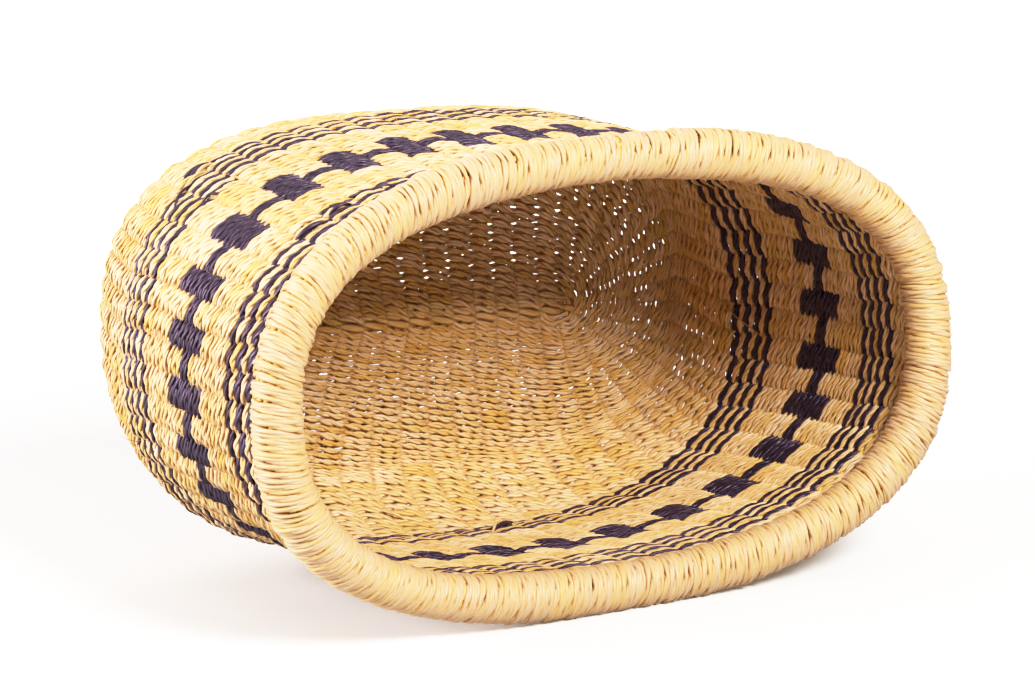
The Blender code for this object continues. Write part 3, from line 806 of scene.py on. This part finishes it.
class OBJECT_OT_weave_base(bpy.types.Operator):
    """Weaves the flat base round the start line and the heel where it turns into the wall"""

    bl_idname = "basket.weave_base"
    bl_label = "Weave the base"

    def execute(self, context):
        share = FLAT_BASE_ROWS / BASE_TURNS
        for number in range(3):
            turns = [share * turn for turn in range(8 * number, 8 * number + 8)]
            weave_piece(f"base_stitches_{number + 1}", [(turns, (0, 1), 1.0)], "natural_grass",
                        ["base_weft"])
        share = (HEEL_LAST_ROW - FLAT_BASE_ROWS) / HEEL_TURNS
        for number in range(2):
            turns = [FLAT_BASE_ROWS + share * turn for turn in range(6 * number, 6 * number + 6)]
            runs = [(turns, (0, 1), 1.0)]
            if number == 1:
                runs.append(((HEEL_LAST_ROW,), (0, 1), 1.0))
            weave_piece(f"heel_stitches_{number + 1}", runs, "natural_grass", ["heel_weft"])
        return {"FINISHED"}


class OBJECT_OT_weave_stripes(bpy.types.Operator):
    """Weaves the two bands of four dyed rows with three natural rows between them"""

    bl_idname = "basket.weave_stripes"
    bl_label = "Weave the stripes"

    def execute(self, context):
        for place, first in (("lower", 30), ("upper", 57)):
            for number in range(4):
                turn = first + 2 * number
                weave_piece(f"{place}_dyed_row_{number + 1}", [((turn,), (0, 1), dyed_row(place, number))],
                            "dyed_grass", [f"{place}_stripe_{number + 1}"])
            for number in range(3):
                turn = first + 2 * number + 1
                weave_piece(f"{place}_natural_row_{number + 1}", [((turn,), (0, 1), natural_row(place, number))],
                            "natural_grass", [f"{place}_spacer_{number + 1}"])
        return {"FINISHED"}


class OBJECT_OT_weave_blocks(bpy.types.Operator):
    """Weaves the chain of dyed blocks with the natural rows below and above it"""

    bl_idname = "basket.weave_blocks"
    bl_label = "Weave the block chain"

    def execute(self, context):
        natural, dyed = (NATURAL_STRAND,), (DYED_STRAND,)
        weave_piece("wall_stitches_below_blocks",
                    [(range(37, 43), (0, 1), 1.0), (range(43, 46), natural, 1.0)],
                    "natural_grass", ["wall_weft_below_blocks"])
        weave_piece("block_stitches",
                    [(range(43, 46), dyed, 1.0), (range(46, 48), (0, 1), 1.0), (range(48, 51), dyed, 1.0)],
                    "dyed_grass", ["block_chain"])
        weave_piece("wall_stitches_above_blocks",
                    [(range(48, 51), natural, 1.0), (range(51, 57), (0, 1), 1.0)],
                    "natural_grass", ["wall_weft_above_blocks"])
        return {"FINISHED"}


class OBJECT_OT_weave_lip(bpy.types.Operator):
    """Weaves the last natural rows that run up into the rim"""

    bl_idname = "basket.weave_lip"
    bl_label = "Weave the lip"

    def execute(self, context):
        weave_piece("lip_stitches", [(range(64, 67), (0, 1), 1.0)], "natural_grass", ["lip_weft"])
        return {"FINISHED"}


class OBJECT_OT_set_stakes(bpy.types.Operator):
    """Sets the stakes that run from the start line through every row into the rim"""

    bl_idname = "basket.set_stakes"
    bl_label = "Set the stakes"

    def execute(self, context):
        sizes = context.scene.basket_sizes
        basket = wall()
        gathered = Mesh()
        draw = np.random.default_rng(7)
        for k in range(STAKES):
            first = max(basket.first_row(k) - 0.6, 0.0)
            rows = np.linspace(first, 67.5, 80)
            stake = np.full(len(rows), float(k))
            points, normals, _ = basket.at(rows + wander(rows, stake, 5, 0.16), stake)
            near = np.linalg.norm(basket.at(rows, stake + 0.5)[0] - basket.at(rows, stake - 0.5)[0], axis=1)
            share = np.clip(near / 0.0085, 0.4, 1.0)
            points = points + normals * wander(rows, stake, 11, 0.00035)[:, None]
            gathered.sweep(points, normals, sizes.stake_width / 2 * share, sizes.stake_thickness / 2 * share,
                           float(np.clip(draw.normal(0.4, 0.2), 0, 1)), 0.6)
        made = gathered.make("stakes", finishes()["stake_grass"])
        return {"FINISHED"}


class OBJECT_OT_lay_start_line(bpy.types.Operator):
    """Lays the first pair of strands that twines the middle stakes together"""

    bl_idname = "basket.lay_start_line"
    bl_label = "Lay the start line"

    def execute(self, context):
        sizes = context.scene.basket_sizes
        basket = wall()
        tops = np.array([pair[0] for pair in basket.line_pairs], float)
        bottoms = np.array([pair[1] for pair in basket.line_pairs], float)
        upper, upper_normal, _ = basket.at(np.zeros(LINE_STAKES), tops)
        lower, lower_normal, _ = basket.at(np.zeros(LINE_STAKES), bottoms)
        centre = (upper + lower) / 2
        normal = unit(upper_normal + lower_normal)
        step = centre[1] - centre[0]
        samples = 8
        count = LINE_STAKES + 2
        knots = np.concatenate([[centre[0] - step], centre, [centre[-1] + step]])
        knot_normals = np.concatenate([normal[:1], normal, normal[-1:]])
        q = np.arange(0, (count - 1) * samples + 1) / samples
        line = np.stack([np.interp(q, np.arange(count), knots[:, a]) for a in range(3)], 1) - (0, 0, 0.0005)
        normals = unit(np.stack([np.interp(q, np.arange(count), knot_normals[:, a]) for a in range(3)], 1))
        side = unit(np.cross(np.gradient(line, axis=0), normals))
        gathered = Mesh()
        row = 0.0036
        for strand in (0, 1):
            theta = math.pi * (q + strand)
            over = np.abs(np.cos(theta))
            points = line + normals * (sizes.strand_swing * np.cos(theta))[:, None]
            points = points + side * (0.24 * row * np.sin(theta))[:, None]
            gathered.sweep(points, normals, row * (0.32 + 0.16 * over), sizes.strand_thickness / 2, 0.3, over)
        top = (basket.line_pairs[0][0], basket.line_pairs[-1][0])
        bottom = (basket.line_pairs[0][1], basket.line_pairs[-1][1])
        for first, last in ((bottom[0], STAKES + top[0]), (top[1], bottom[1])):
            stake = np.linspace(first - 0.2, last + 0.2, 70)
            for coil in (0.5, 1.3, 2.1):
                points, normals, pitch = basket.at(np.full(len(stake), coil), stake)
                gathered.sweep(points, normals, 0.36 * pitch, 0.0006, 0.35, 0.8)
        made = gathered.make("start_stitches", finishes()["natural_grass"])
        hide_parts("start_line")
        return {"FINISHED"}


class OBJECT_OT_bundle_rim(bpy.types.Operator):
    """Lays the bundle of grass and stake ends round the mouth"""

    bl_idname = "basket.bundle_rim"
    bl_label = "Lay the rim bundle"

    def execute(self, context):
        around = np.arange(AROUND_STEPS) / AROUND_STEPS
        centre, out, up = rim_frame(around, wall().read(wall().points, np.full(AROUND_STEPS, TOTAL_ROWS), around))
        gathered = Mesh()
        stalks = 13
        skip = 8
        for number in range(stalks):
            angle = 2 * math.pi * (number / stalks + 3 * around)
            points = centre + 0.0066 * (np.sin(angle)[:, None] * out + np.cos(angle)[:, None] * up)
            normals = np.sin(angle)[:, None] * out + np.cos(angle)[:, None] * up
            gathered.sweep(points[::skip], normals[::skip], 0.0021, 0.0021, 0.4, 0.5, sides=5, closed=True)
        made = gathered.make("rim_bundle", finishes()["stake_grass"])
        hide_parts("rim_core")
        return {"FINISHED"}


class OBJECT_OT_wrap_rim(bpy.types.Operator):
    """Winds the split grass round the rim bundle"""

    bl_idname = "basket.wrap_rim"
    bl_label = "Wrap the rim"

    def execute(self, context):
        sizes = context.scene.basket_sizes
        around = np.arange(AROUND_STEPS) / AROUND_STEPS
        ring = wall().read(wall().points, np.full(AROUND_STEPS, TOTAL_ROWS), around)
        centre, out, up = rim_frame(around, ring)
        girth = float(np.linalg.norm(np.diff(centre, axis=0, append=centre[:1]), axis=1).sum())
        turns = sizes.wrap_turns
        samples = 22
        draw = np.random.default_rng(23)
        count = turns * samples
        t = np.arange(count) / samples
        own = draw.normal(0, 1, (turns + 1, 6))
        lap = t.astype(int)
        share = step_smooth(t - lap)

        def per_turn(column):
            return own[lap, column] * (1 - share) + own[(lap + 1) % turns, column] * share

        psi = math.pi / 2 - 2 * math.pi * t
        lean = sizes.wrap_lean * (1 + 0.14 * per_turn(0))
        pitch = girth / turns
        group = 2 * math.pi * t / 4.2 + 2.1 * np.sin(2 * math.pi * t / 60)
        shift = -lean * np.sin(psi) + pitch * (0.10 * per_turn(1) + 0.08 * np.sin(group))
        way = t / turns + shift / girth
        lumps = 0.00045 * wander(0 * way, way * STAKES, 31, 1.0)
        radius = RIM_ROLL_RADIUS - sizes.wrap_strand_thickness * 0.55 + lumps
        radius = radius + 0.0002 * per_turn(2) - 0.00018 * np.cos(group)

        def read(table):
            j = (way % 1.0) * AROUND_STEPS
            j0 = j.astype(int)
            f = (j - j0)[:, None]
            return table[j0 % AROUND_STEPS] * (1 - f) + table[(j0 + 1) % AROUND_STEPS] * f

        c, o, u = read(centre), unit(read(out)), unit(read(up))
        normals = np.sin(psi)[:, None] * o + np.cos(psi)[:, None] * u
        points = c + normals * radius[:, None]
        tone = np.clip(0.55 + 0.25 * own[lap, 3], 0, 1)
        gathered = Mesh()
        half_width = pitch * 0.68 * (1 + 0.12 * per_turn(4))
        half_thickness = sizes.wrap_strand_thickness / 2 * (1 + 0.1 * per_turn(5))
        tangent = unit(np.roll(points, -1, 0) - np.roll(points, 1, 0))
        side = unit(np.cross(tangent, normals))
        for ply in range(PLIES):
            swirl = 2 * math.pi * (ply / PLIES + np.arange(count) * round(turns * 2.3) / count) + 0.8 * per_turn(1)
            middle = points + side * (0.36 * half_width * np.cos(swirl))[:, None]
            middle = middle + normals * (0.26 * half_thickness * np.sin(swirl))[:, None]
            shade = np.clip(tone + draw.normal(0, 0.1), 0, 1)
            gathered.sweep(middle, normals, 0.66 * half_width, 0.78 * half_thickness, shade, 1.0, sides=6, closed=True)
        made = gathered.make("rim_wrapping", finishes()["wrap_grass"])
        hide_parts("rim_wrap")
        return {"FINISHED"}


class OBJECT_OT_leave_loose_ends(bpy.types.Operator):
    """Leaves the tucked ends, tufts and stray fibres that stand out of the weave"""

    bl_idname = "basket.leave_loose_ends"
    bl_label = "Leave the loose ends"

    def execute(self, context):
        # stake and row of both ends, bow in rows, side of the wall, lift over it, half width: all in metres but rows
        dyed = (
            (24.3, 27.9, 23.2, 28.6, 0.5, 1, 0.0034, 0.0013), (24.2, 28.9, 23.3, 29.0, 0.2, 1, 0.0033, 0.0010),
            (25.2, 33.2, 24.2, 30.6, 0.3, 1, 0.0036, 0.0008), (24.7, 37.2, 24.2, 38.3, 0.0, 1, 0.0030, 0.0008),
            (24.6, 57.9, 23.7, 59.3, 0.3, 1, 0.0034, 0.0013), (23.4, 57.6, 22.7, 58.3, 0.2, 1, 0.0032, 0.0010),
            (22.0, 57.4, 21.2, 58.6, 0.1, 1, 0.0032, 0.0008),
            (47.5, 34.8, 48.7, 31.2, 0.6, -1, 0.0035, 0.0012), (47.9, 32.2, 48.9, 30.6, 0.2, -1, 0.0033, 0.0010),
        )
        natural = (
            (24.2, 30.6, 23.2, 29.4, 0.4, 1, 0.0042, 0.0009), (24.6, 31.2, 23.6, 30.4, 0.3, 1, 0.0040, 0.0008),
            (47.3, 36.2, 48.4, 30.2, 0.2, -1, 0.0040, 0.0009), (45.2, 25.6, 45.8, 27.2, 0.5, -1, 0.0040, 0.0008),
            (61.5, 27.4, 60.4, 35.6, 0.8, -1, 0.0042, 0.00028),
        )
        for name, ends, material, slot in (("dyed_ends", dyed, "dyed_grass", "grass_dyed"),
                                           ("natural_ends", natural, "natural_grass", "straw_natural")):
            gathered = Mesh()
            for stake0, row0, stake1, row1, bow, face, lift, half in ends:
                share = np.linspace(0, 1, 14)
                arch = np.sin(math.pi * share)
                rows = row0 + (row1 - row0) * share + bow * arch
                points, normals, _ = wall().at(rows, stake0 + (stake1 - stake0) * share)
                points = points + normals * (face * (lift * (0.35 + 0.65 * arch)))[:, None]
                taper = 0.35 + 0.65 * arch ** 0.5
                gathered.sweep(points, normals, half * taper, half * 0.7 * taper, 0.45, 1.0)
            gathered.make(name, finishes()[material])
        # stray fibres: stake, row, side of the wall, sway along the wall, length
        gathered = Mesh()
        for stake, row, face, sway, length in ((18.2, 40.0, 1, 0.3, 0.006), (33.5, 33.0, 1, -0.8, 0.007),
                                               (36.2, 46.0, 1, 0.6, 0.006), (9.0, 24.0, 1, 0.5, 0.005)):
            share = np.linspace(0, 1, 10)
            base, normal, _ = wall().at(np.array([row]), np.array([stake]))
            beside = wall().at(np.array([row]), np.array([stake + 0.5]))[0] - base
            points = base + normal * (face * (0.002 + length * share))[:, None]
            points = points + unit(beside) * (sway * length * share ** 2)[:, None]
            side = np.repeat(unit(np.cross(normal, beside)), len(share), 0)
            gathered.sweep(points, side, 0.00022 * (1.1 - 0.7 * share), 0.00022 * (1.1 - 0.7 * share), 0.6, 1.0, sides=4)
        gathered.make("stray_fibres", finishes()["natural_grass"])
        return {"FINISHED"}


class OBJECT_OT_set_studio(bpy.types.Operator):
    """Sets the pale floor, the soft lights and the camera at the photograph's angle"""

    bl_idname = "basket.set_studio"
    bl_label = "Set the studio"

    def execute(self, context):
        scene = context.scene
        studio = scene.basket_studio
        bpy.ops.object.select_all(action="DESELECT")
        bpy.ops.mesh.primitive_plane_add(size=2.8)
        floor = context.active_object
        floor.name = "studio_floor"
        paint = bpy.data.materials.new("floor_paper")
        paint.use_nodes = True
        nodes, links = paint.node_tree.nodes, paint.node_tree.links
        shader = nodes["Principled BSDF"]
        shader.inputs["Roughness"].default_value = 0.9
        # painted light: the camera sees the paper glow as white as a retouched backdrop, with a faint warm glow near
        # the basket that lightens and warms its shadow; the basket gets less light back from it
        path = nodes.new("ShaderNodeLightPath")
        place = nodes.new("ShaderNodeTexCoord")
        away = nodes.new("ShaderNodeVectorMath")
        away.operation = "LENGTH"
        links.new(place.outputs["Object"], away.inputs[0])
        glow = nodes.new("ShaderNodeMapRange")
        glow.interpolation_type = "SMOOTHSTEP"
        glow.inputs["From Min"].default_value = 0.33
        glow.inputs["From Max"].default_value = 1.0
        links.new(away.outputs["Value"], glow.inputs["Value"])
        # painted glow of the paper: faint and warm near the basket, in its shadow, full white farther off
        lift = nodes.new("ShaderNodeMix")
        lift.data_type = "RGBA"
        lift.inputs["A"].default_value = (0.15, 0.115, 0.085, 1)
        lift.inputs["B"].default_value = (WHITE_LEVEL, WHITE_LEVEL, WHITE_LEVEL, 1)
        links.new(glow.outputs["Result"], lift.inputs["Factor"])
        links.new(lift.outputs["Result"], shader.inputs["Emission Color"])
        links.new(path.outputs["Is Camera Ray"], shader.inputs["Emission Strength"])
        seen = nodes.new("ShaderNodeMapRange")
        seen.inputs["To Min"].default_value = 0.45
        seen.inputs["To Max"].default_value = 0.94
        links.new(path.outputs["Is Camera Ray"], seen.inputs["Value"])
        links.new(seen.outputs["Result"], shader.inputs["Base Color"])
        floor.data.materials.append(paint)

        world = bpy.data.worlds.new("white_surround")
        scene.world = world
        world.use_nodes = True
        nodes, links = world.node_tree.nodes, world.node_tree.links
        nodes["Background"].inputs["Color"].default_value = (1, 1, 1, 1)
        direction = nodes.new("ShaderNodeTexCoord")
        split = nodes.new("ShaderNodeSeparateXYZ")
        links.new(direction.outputs["Generated"], split.inputs[0])
        fade = nodes.new("ShaderNodeMapRange")
        fade.interpolation_type = "SMOOTHSTEP"
        fade.inputs["From Min"].default_value = -0.15
        fade.inputs["From Max"].default_value = 0.6
        fade.inputs["To Min"].default_value = studio.room
        fade.inputs["To Max"].default_value = studio.surround
        links.new(split.outputs["Y"], fade.inputs["Value"])
        path = nodes.new("ShaderNodeLightPath")
        seen = nodes.new("ShaderNodeMix")
        links.new(path.outputs["Is Camera Ray"], seen.inputs["Factor"])
        links.new(fade.outputs[0], seen.inputs["A"])
        seen.inputs["B"].default_value = WHITE_LEVEL
        links.new(seen.outputs["Result"], nodes["Background"].inputs["Strength"])

        for name, place, aim, size, power, colour in (
            ("key", (0.04, -1.20, 0.96), (0.0, 0.0, 0.06), 0.45, studio.key_power, (1.0, 0.98, 0.94)),
            ("top", (0.0, 0.3, 2.2), (0.0, 0.2, 0.0), 3.0, studio.top_power, (1.0, 0.94, 0.93)),
            ("side", (-1.5, 0.5, 0.5), (0.0, 0.0, 0.08), 1.0, studio.side_power, (1.0, 0.96, 0.98)),
        ):
            bpy.ops.object.light_add(type="AREA", location=place)
            light = context.active_object
            light.name = name
            light.data.energy = power
            light.data.size = size
            light.data.color = colour
            light.data.shape = "SQUARE"
            light.rotation_euler = (Vector(aim) - Vector(place)).to_track_quat("-Z", "Y").to_euler()

        turn, height = studio.camera_turn, studio.camera_height
        forward = Vector((math.sin(turn) * math.cos(height), math.cos(turn) * math.cos(height), -math.sin(height)))
        mouth = Vector(wall().mouth)
        bpy.ops.object.camera_add(location=mouth - forward * studio.camera_distance)
        camera = context.active_object
        camera.name = "camera"
        camera.data.lens = studio.camera_lens
        camera.data.sensor_width = 36
        camera.data.clip_start = 0.05
        right = forward.cross(Vector((0, 0, 1))).normalized()
        upward = right.cross(forward)
        pixels = studio.camera_lens / 36 * 1035
        yaw = math.atan((615.6 - 517.5) / pixels)
        pitch = math.atan((375.9 - 347) / pixels)
        aim = (forward - right * math.tan(yaw) + upward * math.tan(pitch)).normalized()
        camera.rotation_euler = aim.to_track_quat("-Z", "Y").to_euler()
        scene.camera = camera
        view = scene.view_settings
        view.view_transform = "Standard"
        view.gamma = 0.9
        # the soft shoulder of a bright product photograph: highlights turn cream before they turn white
        view.use_curve_mapping = True
        curves = view.curve_mapping
        curves.white_level = (WHITE_LEVEL, WHITE_LEVEL, WHITE_LEVEL)
        curves.extend = "HORIZONTAL"
        shoulder = curves.curves[3]
        shoulder.points[0].location = (0, 0)
        shoulder.points[-1].location = (1, 1)
        for light_in, light_out in ((0.25, 0.24), (0.5, 0.49), (0.8, 0.73), (1.15, 0.89), (1.6, 0.975)):
            shoulder.points.new(light_in / WHITE_LEVEL, light_out)
        curves.update()
        return {"FINISHED"}


class VIEW3D_PT_basket(bpy.types.Panel):
    bl_label = "Bolga basket"
    bl_idname = "VIEW3D_PT_basket"
    bl_space_type = "VIEW_3D"
    bl_region_type = "UI"
    bl_category = "Basket"

    def draw(self, context):
        layout = self.layout
        for settings in (context.scene.basket_sizes, context.scene.basket_colours, context.scene.basket_studio):
            box = layout.box()
            for label in settings.__annotations__:
                box.prop(settings, label)
        for operator in OPERATORS:
            layout.operator(operator.bl_idname)


OPERATORS = (
    OBJECT_OT_weave_base,
    OBJECT_OT_weave_stripes,
    OBJECT_OT_weave_blocks,
    OBJECT_OT_weave_lip,
    OBJECT_OT_set_stakes,
    OBJECT_OT_lay_start_line,
    OBJECT_OT_bundle_rim,
    OBJECT_OT_wrap_rim,
    OBJECT_OT_leave_loose_ends,
    OBJECT_OT_set_studio,
)
CLASSES = (BasketSizes, BasketColours, StudioSettings, *OPERATORS, VIEW3D_PT_basket)


def register():
    for cls in CLASSES:
        bpy.utils.register_class(cls)
    bpy.types.Scene.basket_sizes = bpy.props.PointerProperty(type=BasketSizes)
    bpy.types.Scene.basket_colours = bpy.props.PointerProperty(type=BasketColours)
    bpy.types.Scene.basket_studio = bpy.props.PointerProperty(type=StudioSettings)


def unregister():
    del bpy.types.Scene.basket_sizes
    del bpy.types.Scene.basket_colours
    del bpy.types.Scene.basket_studio
    for cls in reversed(CLASSES):
        bpy.utils.unregister_class(cls)


def main():
    register()
    bpy.ops.object.select_all(action="DESELECT")
    bpy.ops.basket.weave_base()
    bpy.ops.basket.weave_stripes()
    bpy.ops.basket.weave_blocks()
    bpy.ops.basket.weave_lip()
    bpy.ops.basket.set_stakes()
    bpy.ops.basket.lay_start_line()
    bpy.ops.basket.bundle_rim()
    bpy.ops.basket.wrap_rim()
    bpy.ops.basket.leave_loose_ends()
    bpy.ops.basket.set_studio()


if __name__ == "__main__":
    main()
